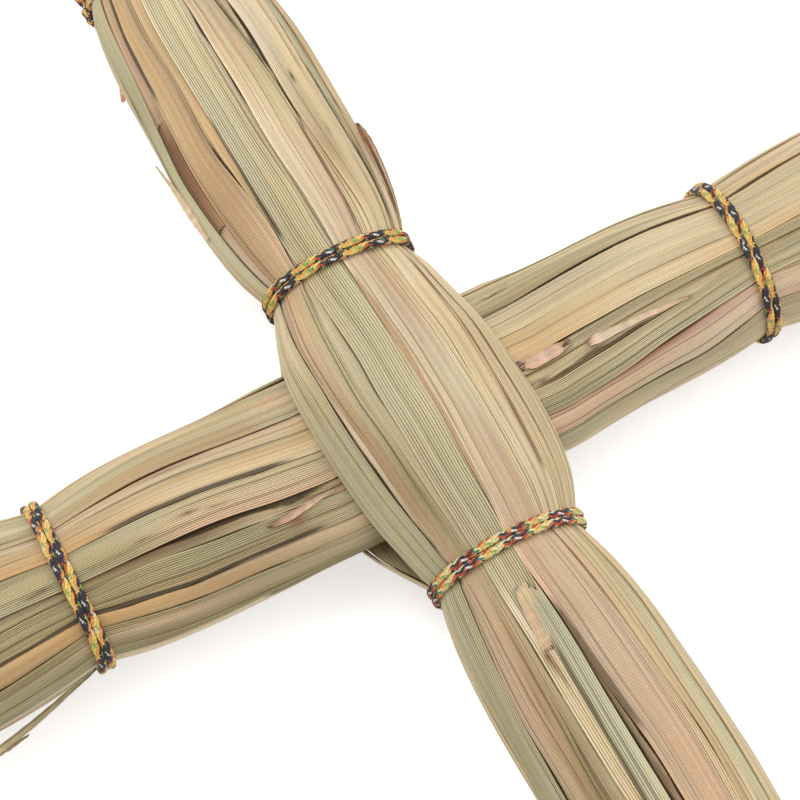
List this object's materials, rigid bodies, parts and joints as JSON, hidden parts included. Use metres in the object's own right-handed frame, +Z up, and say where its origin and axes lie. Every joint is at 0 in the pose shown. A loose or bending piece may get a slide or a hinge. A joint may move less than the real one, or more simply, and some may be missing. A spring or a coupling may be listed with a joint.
{
  "type": "leaf bundle cross",
  "caption": "Plain cross of bound bundles of dried ribbed leaves, one parting around the other, tied with double turns of braided cord.",
  "frame": {"origin": "centre of the bounding box, at its base: the plane the cross lies on", "axes": "+Y along the upright bundle towards its upper end, +X along the cross-piece, +Z up out of the front"},
  "size_m": [0.316, 0.43, 0.0474],
  "materials": {
    "straw_leaf": "dried ribbed leaf, matt",
    "sage_leaf": "dried ribbed leaf, matt",
    "golden_leaf": "dried ribbed leaf, matt",
    "brown_leaf": "dried ribbed leaf, matt",
    "inner_leaf": "dried ribbed leaf, matt",
    "rose_leaf": "dried ribbed leaf, matt",
    "braided_cord": "braided from yellow, orange, green, black and white thread"
  },
  "bodies": {
    "root": {"crosspiece_front_leaf_01": "straw_leaf", "crosspiece_front_leaf_02": "sage_leaf", "crosspiece_front_leaf_03": "sage_leaf", "crosspiece_front_leaf_04": "straw_leaf", "crosspiece_front_leaf_05": "golden_leaf", "crosspiece_front_leaf_06": "sage_leaf", "crosspiece_front_leaf_07": "brown_leaf", "crosspiece_front_leaf_08": "sage_leaf", "crosspiece_front_leaf_09": "golden_leaf", "crosspiece_front_leaf_10": "sage_leaf", "crosspiece_inner_leaves": "inner_leaf", "crosspiece_rear_leaf_01": "straw_leaf", "crosspiece_rear_leaf_02": "golden_leaf", "crosspiece_rear_leaf_03": "sage_leaf", "crosspiece_rear_leaf_04": "straw_leaf", "crosspiece_rear_leaf_05": "sage_leaf", "crosspiece_rear_leaf_06": "straw_leaf", "crosspiece_rear_leaf_07": "rose_leaf", "crosspiece_rear_leaf_08": "sage_leaf", "crosspiece_splayed_blade": "sage_leaf", "crosspiece_tie_left": "braided_cord", "crosspiece_tie_right": "braided_cord", "crosspiece_torn_end": "brown_leaf", "crosspiece_torn_strip_lower": "rose_leaf", "crosspiece_torn_strip_upper": "rose_leaf", "crosspiece_torn_tip": "rose_leaf", "upright_brown_flap": "brown_leaf", "upright_brown_patch": "brown_leaf", "upright_front_leaf_01": "sage_leaf", "upright_front_leaf_03": "rose_leaf", "upright_front_leaf_04": "golden_leaf", "upright_front_leaf_05": "sage_leaf", "upright_front_leaf_06": "brown_leaf", "upright_front_leaf_07": "rose_leaf", "upright_front_leaf_08": "sage_leaf", "upright_front_leaf_09": "straw_leaf", "upright_front_leaf_10": "sage_leaf", "upright_front_leaf_11": "straw_leaf", "upright_inner_leaves": "inner_leaf", "upright_rear_leaf_01": "straw_leaf", "upright_rear_leaf_02": "rose_leaf", "upright_rear_leaf_03": "sage_leaf", "upright_rear_leaf_04": "straw_leaf", "upright_rear_leaf_05": "golden_leaf", "upright_rear_leaf_06": "sage_leaf", "upright_rear_leaf_07": "straw_leaf", "upright_rear_leaf_08": "sage_leaf", "upright_short_leaf": "sage_leaf", "upright_tie_lower_middle": "braided_cord", "upright_tie_lower_outer": "braided_cord", "upright_tie_upper_middle": "braided_cord", "upright_tie_upper_outer": "braided_cord", "upright_torn_leaf_lower": "rose_leaf", "upright_torn_leaf_upper": "rose_leaf", "upright_torn_sliver": "rose_leaf"}
  },
  "joints": []
}
